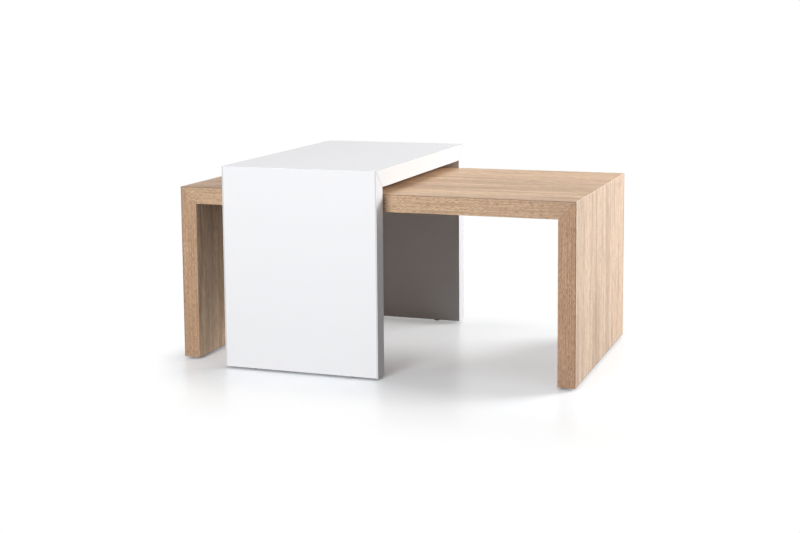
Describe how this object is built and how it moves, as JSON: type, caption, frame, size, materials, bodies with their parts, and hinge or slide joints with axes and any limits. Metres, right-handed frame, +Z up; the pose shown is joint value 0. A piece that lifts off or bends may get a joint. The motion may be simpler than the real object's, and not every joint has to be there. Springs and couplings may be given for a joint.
{
  "type": "nesting tables",
  "caption": "Long low oak-effect table with a shorter, taller white table standing astride it, each a thick top and legs joined in mitred corners so the faces fold over.",
  "frame": {"origin": "on the floor, under the middle of the oak table", "axes": "+X along the oak table to its right end, +Y to the back, +Z up; the white table spans it along Y"},
  "size_m": [0.905, 0.62, 0.45],
  "materials": {
    "chipboard": "raw chipboard, hidden",
    "oak_facing": "satin oak grain",
    "oak_edging": "satin oak grain",
    "white_facing": "satin white",
    "white_edging": "satin white",
    "beech_dowel": "plain beech, hidden",
    "black_glide": "matt black",
    "nail_steel": "bright wire, hidden"
  },
  "bodies": {
    "oak_table": {"oak_glide_nails": "nail_steel", "oak_left_back_glide": "black_glide", "oak_left_front_glide": "black_glide", "oak_left_leg_back_edging": "oak_edging", "oak_left_leg_board": "chipboard", "oak_left_leg_bottom_edging": "oak_edging", "oak_left_leg_front_edging": "oak_edging", "oak_left_leg_inner_facing": "oak_facing", "oak_left_leg_outer_facing": "oak_facing", "oak_left_mitre_dowels": "beech_dowel", "oak_right_back_glide": "black_glide", "oak_right_front_glide": "black_glide", "oak_right_leg_back_edging": "oak_edging", "oak_right_leg_board": "chipboard", "oak_right_leg_bottom_edging": "oak_edging", "oak_right_leg_front_edging": "oak_edging", "oak_right_leg_inner_facing": "oak_facing", "oak_right_leg_outer_facing": "oak_facing", "oak_right_mitre_dowels": "beech_dowel", "oak_top_back_edging": "oak_edging", "oak_top_board": "chipboard", "oak_top_front_edging": "oak_edging", "oak_top_under_facing": "oak_facing", "oak_top_upper_facing": "oak_facing"},
    "white_table": {"white_back_left_glide": "black_glide", "white_back_leg_board": "chipboard", "white_back_leg_bottom_edging": "white_edging", "white_back_leg_inner_facing": "white_facing", "white_back_leg_left_edging": "white_edging", "white_back_leg_outer_facing": "white_facing", "white_back_leg_right_edging": "white_edging", "white_back_mitre_dowels": "beech_dowel", "white_back_right_glide": "black_glide", "white_front_left_glide": "black_glide", "white_front_leg_board": "chipboard", "white_front_leg_bottom_edging": "white_edging", "white_front_leg_inner_facing": "white_facing", "white_front_leg_left_edging": "white_edging", "white_front_leg_outer_facing": "white_facing", "white_front_leg_right_edging": "white_edging", "white_front_mitre_dowels": "beech_dowel", "white_front_right_glide": "black_glide", "white_glide_nails": "nail_steel", "white_top_board": "chipboard", "white_top_left_edging": "white_edging", "white_top_right_edging": "white_edging", "white_top_under_facing": "white_facing", "white_top_upper_facing": "white_facing"}
  },
  "joints": [
    {"name": "nest_slide", "type": "slide", "parent": "oak_table", "child": "white_table", "axis": [1, 0, 0], "range_m": [-0.5, 0.79]}
  ]
}
